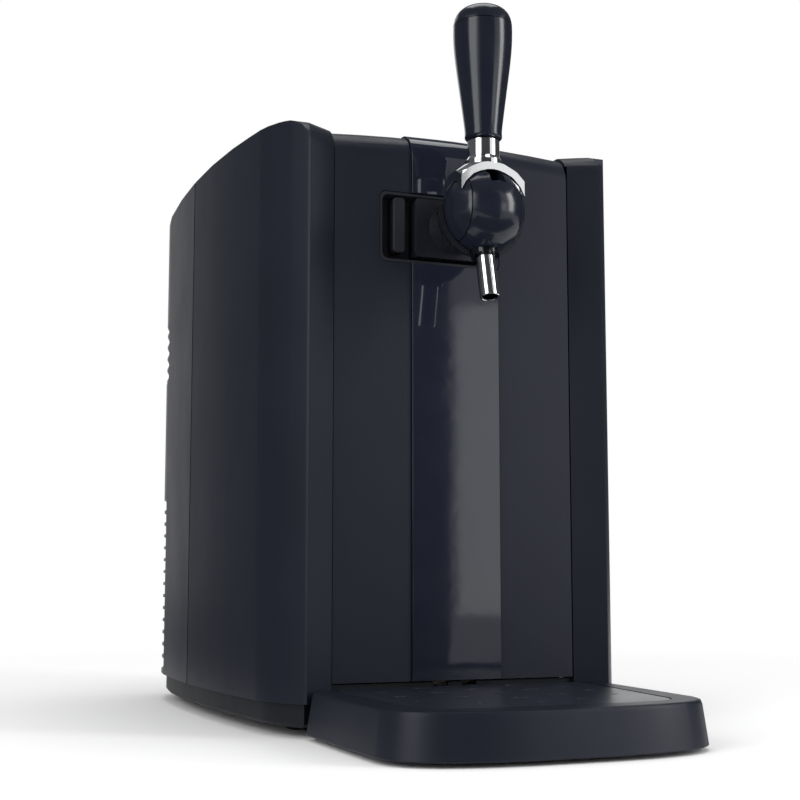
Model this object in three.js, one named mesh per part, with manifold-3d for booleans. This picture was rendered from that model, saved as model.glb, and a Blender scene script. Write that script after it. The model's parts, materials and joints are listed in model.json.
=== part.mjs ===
// Counter-top dispenser for a small beer keg, with a thermoelectric cooler and an air pump.
// Millimetres, +Z up. Inside the model y = 0 is the face of the door, the user stands at -Y and
// +X is to the right. The finished machine is moved so that its origin lies on the table, under
// the middle of its footprint.
import * as THREE from 'three';
import { mergeVertices } from 'three/addons/utils/BufferGeometryUtils.js';
import Module from 'manifold-3d';

const wasm = await Module();
wasm.setup();

// Driving dimensions
const bodyWidth = 261; // at the widest part of the barrel-shaped sides
const overallDepth = 494; // from the front of the drip tray to the rear cover
const overallHeight = 437.5; // from the table to the top of the tap handle
const trayReach = 154.5; // how far the tray stands out in front of the door face
const roofTop = 372; // highest line of the casing
const roofTopY = 150; // where that line lies
const roofRadius = 2800; // arch of the roof from front to back
const seamY = 164.3; // joint between the side panels and the rear cover
const casingBottom = 19.7; // lower edge of the casing
const baseBottom = 5.8; // underside of the base
const doorHalf = 79.2; // half the width of the door
const doorDepth = 18; // from the door face to the back edge of its rim
const doorBottom = 30.2;
const tapX = 0; // the ball of the tap
const tapY = -43.7;
const tapZ = 310.3;
const ballRadius = 25.3;

// Clearances
const seatGap = 0.3; // between pieces that rest on or against each other
const lineGap = 0.5; // open joint lines between the covers
const seamGap = 1.2; // between the side panels and the rear cover
const swingGap = 0.8; // round the door and between moving pieces
const overrun = 4; // how far a cutter runs past the face that it cuts

// Facets
const fineSides = 24;
const roundSides = 16;
const smallSides = 12;
const arcSteps = 6;
const cornerSteps = 2;
const quarter = Math.PI / 2;

const rearY = overallDepth - trayReach;
const middleY = (rearY - trayReach) / 2;

const side = {
  bulgeY: 190,
  bulgeRadius: 1090,
  cornerY: 30,
  cornerRadius: 66,
  easeReach: 84.5,
  easeRadius: 195,
  turnReach: 37.5,
  tipY: -11.4,
  lipX: 80,
  tipEase: 1.6,
  wall: 3,
  edgeRadius: 17,
  rearEdgeRadius: 14,
  ledgeReach: 7,
  ledgeThickness: 2.5,
};
const easeStart = rearY - side.easeReach;
const turnStart = rearY - side.turnReach;
const hinge = { x: 73.6, y: 5.6, pinRadius: 1.5, bore: 1.75 };

// Solids and shapes

function solid(geometry) {
  const bare = geometry.clone();
  bare.deleteAttribute('normal');
  bare.deleteAttribute('uv');
  const merged = mergeVertices(bare);
  const places = merged.attributes.position.array;
  const corners = new Uint32Array(merged.index.array);
  if (signedVolume(places, corners) < 0) {
    for (let k = 0; k < corners.length; k += 3) {
      [corners[k], corners[k + 1]] = [corners[k + 1], corners[k]];
    }
  }
  return new wasm.Manifold(new wasm.Mesh({ numProp: 3, vertProperties: places, triVerts: corners }));
}

function signedVolume(places, corners) {
  const point = (k) => new THREE.Vector3().fromArray(places, 3 * corners[k]);
  let sum = 0;
  for (let k = 0; k < corners.length; k += 3) {
    sum += point(k).dot(point(k + 1).cross(point(k + 2)));
  }
  return sum / 6;
}

function join(first, ...others) {
  return others.reduce((sum, other) => sum.add(other), first);
}

function cut(first, ...others) {
  return others.reduce((rest, other) => rest.subtract(other), first);
}

function common(first, second) {
  return first.intersect(second);
}

function outline(points) {
  return new THREE.Shape(points.map(([u, v]) => new THREE.Vector2(u, v)));
}

function extruded(shape, depth) {
  return new THREE.ExtrudeGeometry(shape, { depth, bevelEnabled: false, curveSegments: cornerSteps });
}

// A shape drawn in x and y, raised from one height to another
function risen(shape, low, high) {
  return solid(extruded(shape, high - low).translate(0, 0, low));
}

const acrossTurn = new THREE.Matrix4().makeBasis(
  new THREE.Vector3(0, 1, 0), new THREE.Vector3(0, 0, 1), new THREE.Vector3(1, 0, 0));

// A shape drawn in y and z, run across the machine
function crosswise(shape, left, right) {
  return solid(extruded(shape, right - left).applyMatrix4(acrossTurn).translate(left, 0, 0));
}

// A shape drawn in x and z, run from front to back
function lengthwise(shape, front, back) {
  const turn = new THREE.Matrix4().makeBasis(
    new THREE.Vector3(1, 0, 0), new THREE.Vector3(0, 0, 1), new THREE.Vector3(0, -1, 0));
  return solid(extruded(shape, back - front).applyMatrix4(turn).translate(0, back, 0));
}

function block(left, right, front, back, low, high) {
  const box = new THREE.BoxGeometry(right - left, back - front, high - low);
  return solid(box.translate((left + right) / 2, (front + back) / 2, (low + high) / 2));
}

function roundedRectangle(left, right, low, high, radius) {
  const shape = new THREE.Shape();
  shape.moveTo(left + radius, low);
  shape.lineTo(right - radius, low);
  shape.absarc(right - radius, low + radius, radius, -quarter, 0, false);
  shape.lineTo(right, high - radius);
  shape.absarc(right - radius, high - radius, radius, 0, quarter, false);
  shape.lineTo(left + radius, high);
  shape.absarc(left + radius, high - radius, radius, quarter, 2 * quarter, false);
  shape.lineTo(left, low + radius);
  shape.absarc(left + radius, low + radius, radius, 2 * quarter, 3 * quarter, false);
  return shape;
}

// A round bar between two points, which may taper
function bar(from, to, radius, sides = roundSides, endRadius = radius) {
  const start = new THREE.Vector3(...from);
  const run = new THREE.Vector3(...to).sub(start);
  const geometry = new THREE.CylinderGeometry(endRadius, radius, run.length(), sides);
  const turn = new THREE.Quaternion().setFromUnitVectors(
    new THREE.Vector3(0, 1, 0), run.clone().normalize());
  geometry.applyQuaternion(turn);
  const middle = start.addScaledVector(run, 1 / 2);
  return solid(geometry.translate(middle.x, middle.y, middle.z));
}

// A profile of radius and height, turned about a vertical axis
function turned(profile, sides = fineSides, place = [0, 0, 0]) {
  const points = profile.map(([radius, height]) => new THREE.Vector2(radius, height));
  return solid(new THREE.LatheGeometry(points, sides).rotateX(quarter).translate(...place));
}

function ball(radius, sides = fineSides, place = [0, 0, 0]) {
  const steps = sides / 2;
  const profile = [];
  for (let k = 0; k <= steps; k += 1) {
    const angle = -quarter + (2 * quarter * k) / steps;
    profile.push([k % steps ? radius * Math.cos(angle) : 0, radius * Math.sin(angle)]);
  }
  return turned(profile, sides, place);
}

// A skin over rings of points, closed by flat ends; flat picks the two numbers that draw an end
function loft(rings, flat) {
  const count = rings[0].length;
  const places = rings.flat().flat();
  const corners = [];
  for (let r = 0; r + 1 < rings.length; r += 1) {
    for (let k = 0; k < count; k += 1) {
      const a = r * count + k;
      const b = r * count + ((k + 1) % count);
      corners.push(a, b, b + count, a, b + count, a + count);
    }
  }
  const ends = [rings[0], rings[rings.length - 1]];
  ends.forEach((ring, end) => {
    const drawn = ring.map((point) => new THREE.Vector2(...flat(point)));
    const clockwise = THREE.ShapeUtils.isClockWise(drawn);
    const first = end * (rings.length - 1) * count;
    for (const [a, b, c] of THREE.ShapeUtils.triangulateShape(drawn, [])) {
      const order = (end === 0) !== clockwise ? [c, b, a] : [a, b, c];
      corners.push(...order.map((k) => first + k));
    }
  });
  const geometry = new THREE.BufferGeometry();
  geometry.setAttribute('position', new THREE.Float32BufferAttribute(places, 3));
  geometry.setIndex(corners);
  return solid(geometry);
}

// A straight run of steps + 1 numbers from one value to another
function span(from, to, steps) {
  return Array.from({ length: steps + 1 }, (_, k) => from + ((to - from) * k) / steps);
}

function geometryOf(body) {
  const mesh = body.getMesh();
  const geometry = new THREE.BufferGeometry();
  geometry.setAttribute('position', new THREE.BufferAttribute(mesh.vertProperties, 3));
  geometry.setIndex(new THREE.BufferAttribute(mesh.triVerts, 1));
  const flat = geometry.toNonIndexed();
  flat.computeVertexNormals();
  return flat;
}

// Finishes
const finishes = {
  satinNavy: { color: 0x242731, roughness: 0.42, metalness: 0 },
  glossNavy: { color: 0x2b2e3a, roughness: 0.1, metalness: 0 },
  glossBlack: { color: 0x14151a, roughness: 0.12, metalness: 0 },
  darkPlastic: { color: 0x20232c, roughness: 0.55, metalness: 0 },
  greyPlastic: { color: 0x8f9499, roughness: 0.5, metalness: 0 },
  chrome: { color: 0xd8dadd, roughness: 0.06, metalness: 1 },
  steel: { color: 0xa9adb0, roughness: 0.3, metalness: 1 },
  aluminium: { color: 0xb9bdc0, roughness: 0.4, metalness: 1 },
  rubber: { color: 0x17181a, roughness: 0.9, metalness: 0 },
  foam: { color: 0xe4e1d6, roughness: 0.95, metalness: 0 },
  ceramic: { color: 0xf0efec, roughness: 0.6, metalness: 0 },
  board: { color: 0x1f5c3a, roughness: 0.5, metalness: 0 },
};

function piece(name, finish, body, x = 0, y = 0, z = 0) {
  const material = new THREE.MeshStandardMaterial(finishes[finish]);
  const mesh = new THREE.Mesh(geometryOf(body), material);
  mesh.name = name;
  mesh.position.set(x, y, z);
  return mesh;
}

// Form of the casing

function roofZ(y) {
  return roofTop - (y - roofTopY) ** 2 / (2 * roofRadius);
}

function bulge(y) {
  return bodyWidth / 2 - (y - side.bulgeY) ** 2 / (2 * side.bulgeRadius);
}

function halfWidth(y) {
  const intoCorner = Math.max(side.cornerY - y, 0);
  const intoEase = Math.max(y - easeStart, 0);
  return bulge(y) - intoCorner ** 2 / (2 * side.cornerRadius)
    - intoEase ** 2 / (2 * side.easeRadius);
}

const tipX = halfWidth(side.tipY);
const bevelLength = Math.hypot(tipX - side.lipX, side.tipY);
const bevelNormal = [-side.tipY / bevelLength, (tipX - side.lipX) / bevelLength];

// The point where the bevel of the wing, moved in by an inset, meets the flank, moved in alike
function innerTip(inset) {
  const start = [side.lipX + inset * bevelNormal[0], inset * bevelNormal[1]];
  let near = 0;
  let far = 1;
  for (let k = 0; k < 24; k += 1) {
    const share = (near + far) / 2;
    const x = start[0] + share * (tipX - side.lipX);
    const y = start[1] + share * side.tipY;
    if (x < halfWidth(y) - inset) {
      near = share;
    } else {
      far = share;
    }
  }
  return [start[0] + near * (tipX - side.lipX), start[1] + near * side.tipY];
}

// Right half of the plan of the casing, from the lip beside the door to the middle of the rear
function planHalf(inset) {
  const tip = inset > 0 ? innerTip(inset) : [tipX, side.tipY];
  const points = [[side.lipX + inset * bevelNormal[0], inset * bevelNormal[1]]];
  if (inset > 0) {
    points.push(tip);
  } else {
    const ease = side.tipEase;
    points.push([tipX - ease * bevelNormal[1], side.tipY + ease * bevelNormal[0]]);
    points.push([tipX - ease * bevelNormal[0] / 2, side.tipY + ease * bevelNormal[0] / 4]);
    points.push([halfWidth(side.tipY + ease), side.tipY + ease]);
  }
  const flankStart = points[points.length - 1][1];
  for (const y of span(flankStart, side.cornerY, 4).slice(1)) {
    points.push([halfWidth(y) - inset, y]);
  }
  for (const y of span(side.cornerY, easeStart, 5).slice(1, -1)) {
    points.push([halfWidth(y) - inset, y]);
  }
  return [...points, ...rearCorner(inset)];
}

// The flank leans in over a wide curve first and then turns into the rear over a tight one
function rearCorner(inset) {
  const lean = (y) => Math.atan((y - side.bulgeY) / side.bulgeRadius
    + (y - easeStart) / side.easeRadius);
  const eased = span(easeStart, turnStart, 2).map((y) => (
    [halfWidth(y) - inset * Math.cos(lean(y)), y - inset * Math.sin(lean(y))]));
  const start = lean(turnStart);
  const radius = (rearY - turnStart) / (1 - Math.sin(start));
  const centreX = halfWidth(turnStart) - radius * Math.cos(start);
  const centreY = rearY - radius;
  const turning = span(start, quarter, 3).slice(1).map((angle) => (
    [centreX + (radius - inset) * Math.cos(angle), centreY + (radius - inset) * Math.sin(angle)]));
  return [...eased, ...turning];
}

function planPoints(inset) {
  return mirrored(planHalf(inset));
}

function mirrored(half) {
  return [...half, ...half.map(([x, y]) => [-x, y]).reverse()];
}

// The casing seen from the side
function profilePoints(inset, low) {
  const front = side.tipY + side.edgeRadius;
  const frontZ = roofZ(front) - side.edgeRadius;
  const rear = rearY - side.rearEdgeRadius;
  const rearZ = roofZ(rear) - side.rearEdgeRadius;
  const points = [[side.tipY + inset, low]];
  for (const angle of span(2 * quarter, quarter, arcSteps)) {
    const radius = side.edgeRadius - inset;
    points.push([front + radius * Math.cos(angle), frontZ + radius * Math.sin(angle)]);
  }
  for (const y of span(front, rear, 8).slice(1, -1)) {
    points.push([y, roofZ(y) - inset]);
  }
  for (const angle of span(quarter, 0, arcSteps - 2)) {
    const radius = side.rearEdgeRadius - inset;
    points.push([rear + radius * Math.cos(angle), rearZ + radius * Math.sin(angle)]);
  }
  points.push([rearY - inset, low]);
  return points;
}

function casingForm(inset, low) {
  const plan = risen(outline(planPoints(inset)), low, roofTop + overrun);
  const profile = crosswise(outline(profilePoints(inset, low)), -bodyWidth, bodyWidth);
  return common(plan, profile);
}

const casing = cut(casingForm(0, casingBottom), casingForm(side.wall, casingBottom - overrun));

// The rounded upper edge of the door, carried on along the slanted front of a wing
function wingForm(inset, hand, low) {
  const top = roofZ(doorDepth) - doorDepth;
  const front = inset - seatGap;
  const points = [[front, low]];
  for (const angle of span(2 * quarter, quarter, arcSteps)) {
    const radius = doorDepth - front;
    points.push([doorDepth + radius * Math.cos(angle), top + radius * Math.sin(angle)]);
  }
  points.push([roofTopY, roofTop + overrun], [rearY, roofTop + overrun], [rearY, low]);
  const slope = -side.tipY / (tipX - side.lipX);
  const slant = new THREE.Matrix4().set(
    hand, 0, 0, 0, -slope, 1, 0, slope * side.lipX, 0, 0, 1, 0, 0, 0, 0, 1);
  return solid(extruded(outline(points), bodyWidth).applyMatrix4(acrossTurn).applyMatrix4(slant));
}

// Crown of the door and of the roof cover: raised in the middle, set down beside the wings
const crown = { rise: 3.2, drop: 1.5, stations: 8 };

function crownZ(x, y) {
  const fade = Math.min(1, Math.max(0, (seamY - y) / (seamY - doorDepth)));
  return roofZ(y) + fade * (crown.rise * (1 - (x / doorHalf) ** 2) - crown.drop);
}

// A block under the crowned surface, raised by lift; round is the radius of its upper front edge
function crownedBlock({ half, front, back, low, round = 0, lift = 0 }) {
  const rings = span(-half, half, crown.stations).map((x) => {
    const points = [[x, front, low]];
    if (round > 0) {
      const centreY = front + round;
      const centreZ = crownZ(x, centreY) + lift - round;
      for (const angle of span(2 * quarter, quarter, arcSteps)) {
        const y = centreY + round * Math.cos(angle);
        points.push([x, y, centreZ + round * Math.sin(angle)]);
      }
    }
    if (front + round < back) {
      const ys = span(front + round, back, round > 0 ? 1 : arcSteps);
      for (const y of round > 0 ? ys.slice(1) : ys) {
        points.push([x, y, crownZ(x, y) + lift]);
      }
    }
    points.push([x, back, low]);
    return points;
  });
  return loft(rings, ([, y, z]) => [y, z]);
}

// Rings of the plan, each at its own inset and height
function stacked(levels) {
  const rings = levels.map(([inset, z]) => planPoints(inset).map(([x, y]) => [x, y, z]));
  return loft(rings, ([x, y]) => [x, y]);
}

// A section of inset and height, run round the rear of the casing
function roundRear(section) {
  const lines = section.map(([inset]) => mirrored(rearCorner(inset)));
  const rings = lines[0].map((_, k) => section.map(([, z], j) => [...lines[j][k], z]));
  return loft(rings, ([x, , z]) => [x, z]);
}

// Casing

const relief = { radius: 8.6, top: 360 };

function sidePanel(hand) {
  const [near, far] = hand > 0 ? [side.lipX, bodyWidth] : [-bodyWidth, -side.lipX];
  const slice = block(near, far, side.tipY - overrun, seamY - seamGap / 2, 0, roofTop + overrun);
  const form = (inset, low) => common(casingForm(inset, low), wingForm(inset, hand, low));
  const shell = cut(form(0, casingBottom), form(side.wall, casingBottom - overrun));
  const panel = common(shell, slice);
  if (hand < 0) {
    return panel;
  }
  return cut(panel, bar([hinge.x, hinge.y, 0], [hinge.x, hinge.y, relief.top], relief.radius));
}

const roof = { front: 19.5, wall: 3, low: 340 };

function roofCover() {
  const back = seamY - lineGap / 2;
  const plate = crownedBlock({ half: doorHalf, front: roof.front, back, low: roof.low });
  const under = crownedBlock({
    half: doorHalf + overrun,
    front: roof.front - overrun,
    back: back + overrun,
    low: roof.low - overrun,
    lift: -roof.wall,
  });
  return cut(plate, under);
}

const vents = {
  lowerLow: 23,
  lowerHigh: 151,
  lowerFins: 13,
  finThickness: 2,
  finDepth: 4.6,
  finRise: 1.4,
  upperLow: 241.7,
  upperHigh: 287,
  louvres: 5,
  noseDepth: 1.8,
  noseHeight: 2.6,
  louvreDepth: 5.4,
  louvreRise: 7.6,
  barX: 39,
  barHalf: 2.2,
};
const inlet = {
  x: 38,
  z: 196,
  flangeX: 16,
  flangeZ: 13,
  flangeThickness: 2.5,
  noseX: 13.6,
  noseZ: 10,
  setBack: 0.4,
  depthShare: 0.225,
  wall: 1.9,
  pinX: 7,
  pinZ: 2.4,
  pinWide: 1,
  pinTall: 2.6,
  pinShare: 0.12,
};
const rocker = {
  x: -38,
  z: 196,
  noseX: 10.5,
  noseZ: 7.5,
  flange: 2.5,
  depth: 18,
  wall: 1.5,
  halfX: 8.4,
  halfZ: 5.4,
  thickness: 5,
  setBack: 1.9,
  axle: 1.5,
};

function rearCover() {
  const slice = block(-bodyWidth, bodyWidth, seamY + seamGap / 2, rearY + overrun, 0,
    roofTop + overrun);
  const cover = common(casing, slice);
  const window = (low, high) => roundRear([
    [-overrun, low], [side.wall + overrun, low], [side.wall + overrun, high], [-overrun, high],
  ]);
  const hole = (part) => block(part.x - part.noseX - seatGap, part.x + part.noseX + seatGap,
    rearY - side.wall - overrun, rearY + overrun,
    part.z - part.noseZ - seatGap, part.z + part.noseZ + seatGap);
  const open = cut(cover, window(vents.lowerLow, vents.lowerHigh),
    window(vents.upperLow, vents.upperHigh), hole(inlet), hole(rocker));
  return join(open, ...rearFins(), ...rearLouvres(), ...rearBars());
}

function rearFins() {
  const pitch = (vents.lowerHigh - vents.lowerLow) / (vents.lowerFins + 1);
  const { finDepth, finRise } = vents;
  return span(1, vents.lowerFins, vents.lowerFins - 1).map((k) => {
    const low = vents.lowerLow + k * pitch - vents.finThickness / 2;
    const high = low + vents.finThickness;
    return roundRear([
      [seatGap, low], [finDepth, low + finRise], [finDepth, high + finRise], [seatGap, high],
    ]);
  });
}

// Blades that hang from their inner edge down to a blunt nose
function rearLouvres() {
  const pitch = (vents.upperHigh - vents.upperLow) / vents.louvres;
  const { noseDepth, noseHeight, louvreDepth, louvreRise } = vents;
  return span(0, vents.louvres - 1, vents.louvres - 1).map((k) => {
    const low = vents.upperLow + k * pitch + seatGap;
    return roundRear([
      [seatGap, low + noseHeight / 3], [noseDepth, low], [louvreDepth, low + louvreRise],
      [louvreDepth - noseDepth, low + louvreRise], [seatGap, low + noseHeight],
    ]);
  });
}

function rearBars() {
  const spans = [[vents.lowerLow, vents.lowerHigh], [vents.upperLow, vents.upperHigh]];
  return [-vents.barX, vents.barX].flatMap((x) => spans.map(([low, high]) => block(
    x - vents.barHalf, x + vents.barHalf, rearY - side.wall, rearY - lineGap,
    low - overrun, high + overrun)));
}

// Base

const base = {
  inset: 4,
  bottomEase: 2.2,
  wall: 3.4,
  floor: 3,
  lowerTop: 19.4,
  top: 29.4,
  bossRadius: 4.6,
  pinLow: 19,
  notchNear: 4.7,
  notchFar: 14.2,
  notchLow: 25.4,
  notchBack: 9,
};
const feet = { radius: 9, neck: 6, x: 86, frontY: 44, backReach: 53.5, lowHeight: 1.2 };

function basePan() {
  const inner = side.wall + seatGap;
  const lower = stacked([
    [base.inset + base.bottomEase, baseBottom],
    [base.inset, baseBottom + base.bottomEase],
    [base.inset, base.lowerTop],
  ]);
  const upper = stacked([[inner, base.lowerTop - overrun], [inner, base.top]]);
  const form = join(lower, cut(upper, block(-bodyWidth, bodyWidth, -bodyWidth, overallDepth, 0,
    base.lowerTop)));
  const pocket = stacked([
    [base.inset + base.wall, baseBottom + base.floor],
    [base.inset + base.wall, base.top + overrun],
  ]);
  const boss = common(form, bar([hinge.x, hinge.y, baseBottom], [hinge.x, hinge.y, base.top],
    base.bossRadius));
  const bore = bar([hinge.x, hinge.y, base.pinLow], [hinge.x, hinge.y, base.top + overrun],
    hinge.bore, smallSides);
  const notches = [1, -1].map((hand) => {
    const xs = [hand * base.notchNear, hand * base.notchFar].sort((a, b) => a - b);
    return block(xs[0], xs[1], -overrun, base.notchBack, base.notchLow, base.top + overrun);
  });
  return cut(join(cut(form, pocket), boss), bore, ...notches);
}

function foot() {
  const top = baseBottom - seatGap;
  return turned([[0, 0], [feet.neck, 0], [feet.radius, feet.lowHeight], [feet.radius, top], [0, top]],
    roundSides);
}

// Keg chamber

const frame = {
  front: 22.2,
  back: 25.7,
  low: 29.7,
  high: 362,
  openLeft: -74,
  openRight: 67,
  openLow: 50,
  openHigh: 334,
  openRadius: 8,
};
const foamSetBack = 30.5;
const chamber = {
  radius: 76,
  y: 119,
  low: 46,
  high: 350,
  wall: 2,
  topDrain: 1,
  foamHalf: bodyWidth / 2 - foamSetBack,
  foamFront: 26,
  foamBack: 212,
  foamTop: 361,
  foamRadius: 14,
  seatRadius: 66,
  seatHeight: 3,
  seatRim: 8,
};

// The drum round the keg and the way in from the front, as one room
function chamberRoom(grow, low, high) {
  const radius = chamber.radius + grow;
  const left = frame.openLeft - grow;
  const right = frame.openRight + grow;
  const front = frame.front - overrun;
  const start = -Math.acos(right / radius);
  const end = 2 * quarter + Math.acos(-left / radius);
  const arc = span(start, end, fineSides).map((angle) => (
    [radius * Math.cos(angle), chamber.y + radius * Math.sin(angle)]));
  return risen(outline([[left, front], [right, front], ...arc]), low, high);
}

const bayDepth = rearY - side.wall - chamber.foamBack; // room for the works behind the foam

const hosePort = { x: -34, z: 326, bore: 4.6 };

function portBore() {
  return bar([hosePort.x, chamber.y, hosePort.z], [hosePort.x, chamber.foamBack + overrun, hosePort.z],
    hosePort.bore, smallSides);
}

function frontFrame() {
  const inner = side.wall + seatGap;
  const sheet = common(stacked([[inner, frame.low], [inner, frame.high]]),
    block(-bodyWidth, bodyWidth, frame.front, frame.back, frame.low, frame.high));
  const opening = lengthwise(roundedRectangle(frame.openLeft, frame.openRight, frame.openLow,
    frame.openHigh, frame.openRadius), frame.front - overrun, frame.back + overrun);
  return cut(sheet, opening);
}

function chamberLiner() {
  const front = chamber.foamFront;
  const outer = chamberRoom(chamber.wall, chamber.low - chamber.wall, chamber.high + chamber.wall);
  const inner = chamberRoom(0, chamber.low, chamber.high);
  const ahead = block(-bodyWidth, bodyWidth, -overrun, front, 0, roofTop);
  return cut(outer, inner, ahead, plateHole(seatGap), portBore());
}

function chamberFoam() {
  const plan = roundedRectangle(-chamber.foamHalf, chamber.foamHalf, chamber.foamFront,
    chamber.foamBack, chamber.foamRadius);
  const body = risen(plan, baseBottom + base.floor + seatGap, chamber.foamTop);
  const room = chamberRoom(chamber.wall + seatGap, chamber.low - chamber.wall - seatGap,
    chamber.high + chamber.wall + seatGap);
  return cut(body, room, plateHole(seatGap), portBore());
}

function kegSeat() {
  const low = chamber.low + seatGap;
  const top = low + chamber.seatHeight;
  return turned([
    [0, low], [chamber.seatRadius, low], [chamber.seatRadius, top],
    [chamber.seatRadius - chamber.seatRim, top],
    [chamber.seatRadius - chamber.seatRim, low + chamber.seatHeight / 2],
    [0, low + chamber.seatHeight / 2],
  ]);
}

// Cooler

const cooler = {
  z: 260,
  plateX: 32,
  plateZ: 40,
  plateBack: 214,
  moduleHalf: 20,
  moduleThickness: 4,
  sinkHalfX: 50,
  sinkHalfZ: 50,
  sinkBase: 6,
  finShare: 0.273,
  finThickness: 1.6,
  fins: 11,
};
const finDepth = bayDepth * cooler.finShare;
const fan = {
  half: 46,
  depthShare: 0.2,
  duct: 43,
  hub: 14,
  hubShare: 0.12,
  strut: 2,
  rotorHub: 13.5,
  rotorShare: 0.68,
  tip: 41,
  blades: 7,
  bladeThickness: 1.6,
  bladeTilt: 40,
  bladeShare: 0.6,
  axle: 2,
  axleBore: 2.4,
  cornerRadius: 6,
};
const moduleFront = cooler.plateBack + seatGap;
const sinkFront = moduleFront + cooler.moduleThickness + seatGap;
const finEnd = sinkFront + cooler.sinkBase + finDepth;
const fanFront = finEnd + seatGap;
const fanDepth = bayDepth * fan.depthShare;
const hubDepth = fanDepth * fan.hubShare;
const rotorDepth = fanDepth * fan.rotorShare;

function plateHole(grow) {
  return block(-cooler.plateX - grow, cooler.plateX + grow, chamber.y, chamber.foamBack + overrun,
    cooler.z - cooler.plateZ - grow, cooler.z + cooler.plateZ + grow);
}

function coldPlate() {
  const slab = block(-cooler.plateX, cooler.plateX, chamber.y, cooler.plateBack,
    cooler.z - cooler.plateZ, cooler.z + cooler.plateZ);
  return cut(slab, chamberRoom(0, chamber.low, chamber.high));
}

function coolerModule() {
  const half = cooler.moduleHalf;
  return block(-half, half, moduleFront, moduleFront + cooler.moduleThickness,
    cooler.z - half, cooler.z + half);
}

function heatSink() {
  const low = cooler.z - cooler.sinkHalfZ;
  const high = cooler.z + cooler.sinkHalfZ;
  const half = cooler.sinkHalfX;
  const plate = block(-half, half, sinkFront, sinkFront + cooler.sinkBase, low, high);
  const thin = cooler.finThickness / 2;
  const fins = span(-half + thin, half - thin, cooler.fins - 1).map((x) => block(
    x - thin, x + thin, sinkFront, finEnd, low, high));
  return join(plate, ...fins);
}

function fanFrame() {
  const back = fanFront + fanDepth;
  const body = lengthwise(roundedRectangle(-fan.half, fan.half, cooler.z - fan.half,
    cooler.z + fan.half, fan.cornerRadius), fanFront, back);
  const duct = bar([0, fanFront - overrun, cooler.z], [0, back + overrun, cooler.z], fan.duct);
  const hubFront = back - hubDepth;
  const hub = bar([0, hubFront, cooler.z], [0, back, cooler.z], fan.hub);
  const reach = fan.duct + fan.strut;
  const struts = [
    block(-reach, reach, hubFront, back, cooler.z - fan.strut, cooler.z + fan.strut),
    block(-fan.strut, fan.strut, hubFront, back, cooler.z - reach, cooler.z + reach),
  ];
  const axle = bar([0, hubFront - rotorDepth / 2, cooler.z], [0, back, cooler.z], fan.axle,
    smallSides);
  return join(cut(body, duct), hub, ...struts, axle);
}

// Turns about its own origin on the axle of the fan
function fanRotor() {
  const back = fanDepth - hubDepth - swingGap;
  const front = back - rotorDepth;
  const hub = bar([0, front, 0], [0, back, 0], fan.rotorHub);
  const blades = span(0, fan.blades - 1, fan.blades - 1).map((k) => {
    const blade = new THREE.BoxGeometry(fan.bladeThickness, fanDepth * fan.bladeShare, fan.tip);
    blade.translate(0, 0, fan.tip / 2);
    blade.rotateZ(THREE.MathUtils.degToRad(fan.bladeTilt));
    blade.rotateY((k * 4 * quarter) / fan.blades);
    blade.translate(0, (front + back) / 2, 0);
    return solid(blade);
  });
  const reach = bar([0, front, 0], [0, back, 0], fan.tip);
  const bore = bar([0, back - rotorDepth * 2 / 3, 0], [0, back + overrun, 0], fan.axleBore,
    smallSides);
  return cut(common(join(hub, ...blades), reach), bore);
}

// Electrics

const supply = { leftShare: 0.084, rightShare: 0.352, frontShare: 0.16, backShare: 0.7, height: 46,
  ease: 3, slots: 6, slotDepth: 2, slotWidthShare: 0.05, slotPitchShare: 0.12, slotEnd: 8 };
const board = { leftShare: -0.322, rightShare: -0.054, low: 66, high: 150, thickness: 1.6,
  tallest: 16 };
// Place across and up the board, half sizes in the same measure, and height against the tallest
const chipShares = [
  [0.257, 0.286, 0.129, 0.107, 0.19],
  [0.714, 0.214, 0.171, 0.083, 0.75],
  [0.343, 0.714, 0.2, 0.095, 0.5],
  [0.8, 0.667, 0.1, 0.167, 1],
];
const floorZ = baseBottom + base.floor + seatGap;

function powerSupply() {
  const left = bodyWidth * supply.leftShare;
  const right = bodyWidth * supply.rightShare;
  const front = chamber.foamBack + bayDepth * supply.frontShare;
  const back = chamber.foamBack + bayDepth * supply.backShare;
  const top = floorZ + supply.height;
  const body = risen(roundedRectangle(left, right, front, back, supply.ease), floorZ, top);
  const slotWidth = (right - left) * supply.slotWidthShare;
  const slots = span(1, supply.slots, supply.slots - 1).map((k) => {
    const slotLeft = left + k * (right - left) * supply.slotPitchShare;
    return block(slotLeft, slotLeft + slotWidth, front + supply.slotEnd, back - supply.slotEnd,
      top - supply.slotDepth, top + overrun);
  });
  return cut(body, ...slots);
}

function controlBoard() {
  const front = chamber.foamBack + seatGap;
  const back = front + board.thickness;
  const left = bodyWidth * board.leftShare;
  const width = bodyWidth * board.rightShare - left;
  const tall = board.high - board.low;
  const plate = block(left, left + width, front, back, board.low, board.high);
  return join(plate, ...chipShares.map(([x, z, halfX, halfZ, height]) => block(
    left + (x - halfX) * width, left + (x + halfX) * width, front, back + height * board.tallest,
    board.low + (z - halfZ) * tall, board.low + (z + halfZ) * tall)));
}

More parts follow.
